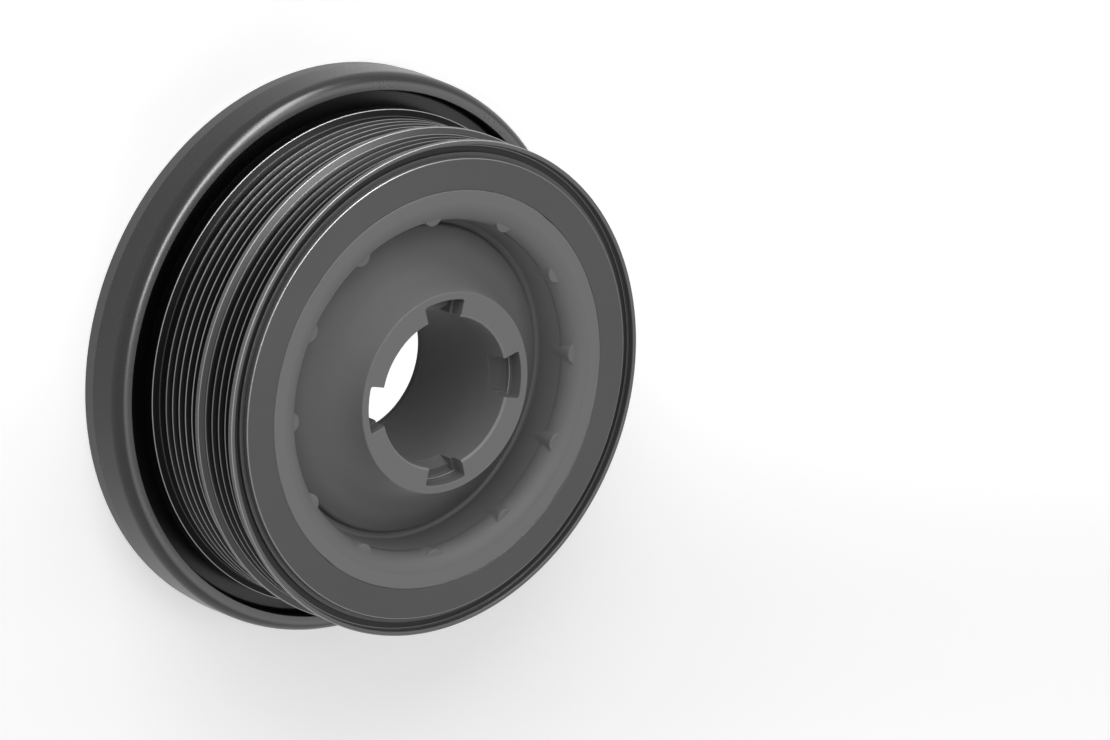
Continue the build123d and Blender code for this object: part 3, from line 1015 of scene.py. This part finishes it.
# Painted highlight: a bright metallic line along the outer edge
edge_glint = mask_between(tree, marks.outputs["Radius"], ring_edge - 0.37, ring_edge - 0.02, 0.06)
edge_colour = blend_colours(tree, edge_glint, skin.outputs["Colour"], grey(0.22))
tree.links.new(edge_colour, shader.inputs["Base Color"])
tree.links.new(calc(tree, "MULTIPLY", edge_glint, 0.7), shader.inputs["Metallic"])
tree.links.new(skin.outputs["Roughness"], shader.inputs["Roughness"])
shader.inputs["IOR"].default_value = 1.6
join_bumps(tree, shader, [(skin.outputs["Height"], 0.12, 0.00004), (marks.outputs["Height"], 0.15, 0.00002)])
retainer = turned_piece(
    "retaining_ring_steel",
    [
        (ring_bore, ring_back, 0.2),
        (ring_edge, ring_back, 0.2),
        (ring_edge, ring_front_at_edge, 0.45),
        (ring_bore, ring_front_at_bore, 0.15),
    ],
    retainer_material,
)
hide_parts("retaining_ring")

# Floor and light
# A plain white floor that is clear from below, a white sky all round and soft boxes in a circle. One tall box
# at the upper left shows as the streak on the rounded rim; the others only light the part and don't show.
def seen_directly(tree):
    """1 for the camera and for what shows in gloss or through glass, 0 for the light on the object."""
    paths = tree.nodes.new("ShaderNodeLightPath").outputs
    in_gloss = calc(tree, "MAXIMUM", paths["Is Glossy Ray"], paths["Is Transmission Ray"])
    return calc(tree, "MAXIMUM", paths["Is Camera Ray"], in_gloss)


floor_material = bpy.data.materials.new("white_floor")
floor_material.use_nodes = True
tree = floor_material.node_tree
tree.nodes.clear()
place = tree.nodes.new("ShaderNodeTexCoord").outputs["Object"]
split = add_node(tree, "ShaderNodeSeparateXYZ", inputs={0: place})
marks = add_marks(tree, place, 0.2)
# Own glow of the floor: less towards the lower edge of the picture, a painted shadow where the shadow lies, and full
# in the bore, painted light that clears the shade under the hub
towards = calc(tree, "MULTIPLY_ADD", split.outputs["Y"], -0.2, split.outputs["X"])
shaded = calc(tree, "SUBTRACT", mask_above(tree, towards, -40, 100), mask_above(tree, towards, 120, 280))
own_glow = calc(tree, "MULTIPLY_ADD", shaded, -0.2, 0.5)
bore_painted_light = mask_below(tree, marks.outputs["Radius"], 60, 65)
brightness = calc(tree, "MAXIMUM", own_glow, calc(tree, "MULTIPLY", bore_painted_light, 1.05))
strength = calc(tree, "MULTIPLY", seen_directly(tree), brightness)
glow = add_node(tree, "ShaderNodeEmission", inputs={"Color": grey(1.0), "Strength": strength})
matte = add_node(tree, "ShaderNodeBsdfDiffuse", inputs={"Color": grey(0.8)})
both = add_node(tree, "ShaderNodeAddShader", inputs={0: matte.outputs[0], 1: glow.outputs[0]})
below = tree.nodes.new("ShaderNodeNewGeometry").outputs["Backfacing"]
clear = tree.nodes.new("ShaderNodeBsdfTransparent")
sides = add_node(tree, "ShaderNodeMixShader", inputs={0: below, 1: both.outputs[0], 2: clear.outputs[0]})
add_node(tree, "ShaderNodeOutputMaterial", inputs={"Surface": sides.outputs[0]})
floor_mesh = bmesh.new()
bmesh.ops.create_grid(floor_mesh, x_segments=1, y_segments=1, size=6.0)
floor_data = bpy.data.meshes.new("floor")
floor_mesh.to_mesh(floor_data)
floor_mesh.free()
floor = bpy.data.objects.new("floor", floor_data)
floor_data.materials.append(floor_material)
bpy.context.scene.collection.objects.link(floor)

world = bpy.data.worlds.new("pale_sky")
bpy.context.scene.world = world
world.use_nodes = True
tree = world.node_tree
tree.nodes.clear()
strength = calc(tree, "MULTIPLY_ADD", seen_directly(tree), 0.95, 0.05)
sky = add_node(tree, "ShaderNodeBackground", inputs={"Color": grey(1.0), "Strength": strength})
add_node(tree, "ShaderNodeOutputWorld", inputs={"Surface": sky.outputs[0]})

# Soft boxes: heading round the axis and rise in degrees, width and height in metres, watts
lamp_distance = 2.0
lamp_aim = Vector((0, 0, 0.04))
for number, (heading, rise, wide, tall, watts) in enumerate(
    (
        (163, 57, 0.6, 3.0, 92.0),
        (0, 12, 1.5, 0.9, 14.0),
        (45, 12, 1.5, 0.9, 4.5),
        (135, 12, 1.5, 0.9, 5.0),
        (180, 12, 1.5, 0.9, 11.0),
        (225, 12, 1.5, 0.9, 12.0),
        (22, 35, 1.2, 1.2, 5.0),
        (67, 35, 1.2, 1.2, 8.5),
        (202, 36, 1.2, 1.2, 13.5),
        (247, 35, 1.2, 1.2, 8.0),
        (337, 35, 1.2, 1.2, 7.0),
    )
):
    lamp_data = bpy.data.lights.new(f"soft_box_{number}", "AREA")
    lamp_data.shape = "RECTANGLE"
    lamp_data.size = wide
    lamp_data.size_y = tall
    lamp_data.energy = watts
    lamp = bpy.data.objects.new(f"soft_box_{number}", lamp_data)
    bpy.context.scene.collection.objects.link(lamp)
    turn = math.radians(heading)
    lift = math.radians(rise)
    lamp_way = Vector((math.cos(lift) * math.cos(turn), math.cos(lift) * math.sin(turn), math.sin(lift)))
    lamp.location = lamp_way * lamp_distance + lamp_aim
    lamp.rotation_euler = lamp_way.to_track_quat("Z", "Y").to_euler()
    streak = number == 0
    lamp.visible_glossy = streak
    lamp.visible_diffuse = not streak

bpy.context.scene.view_settings.view_transform = "Standard"
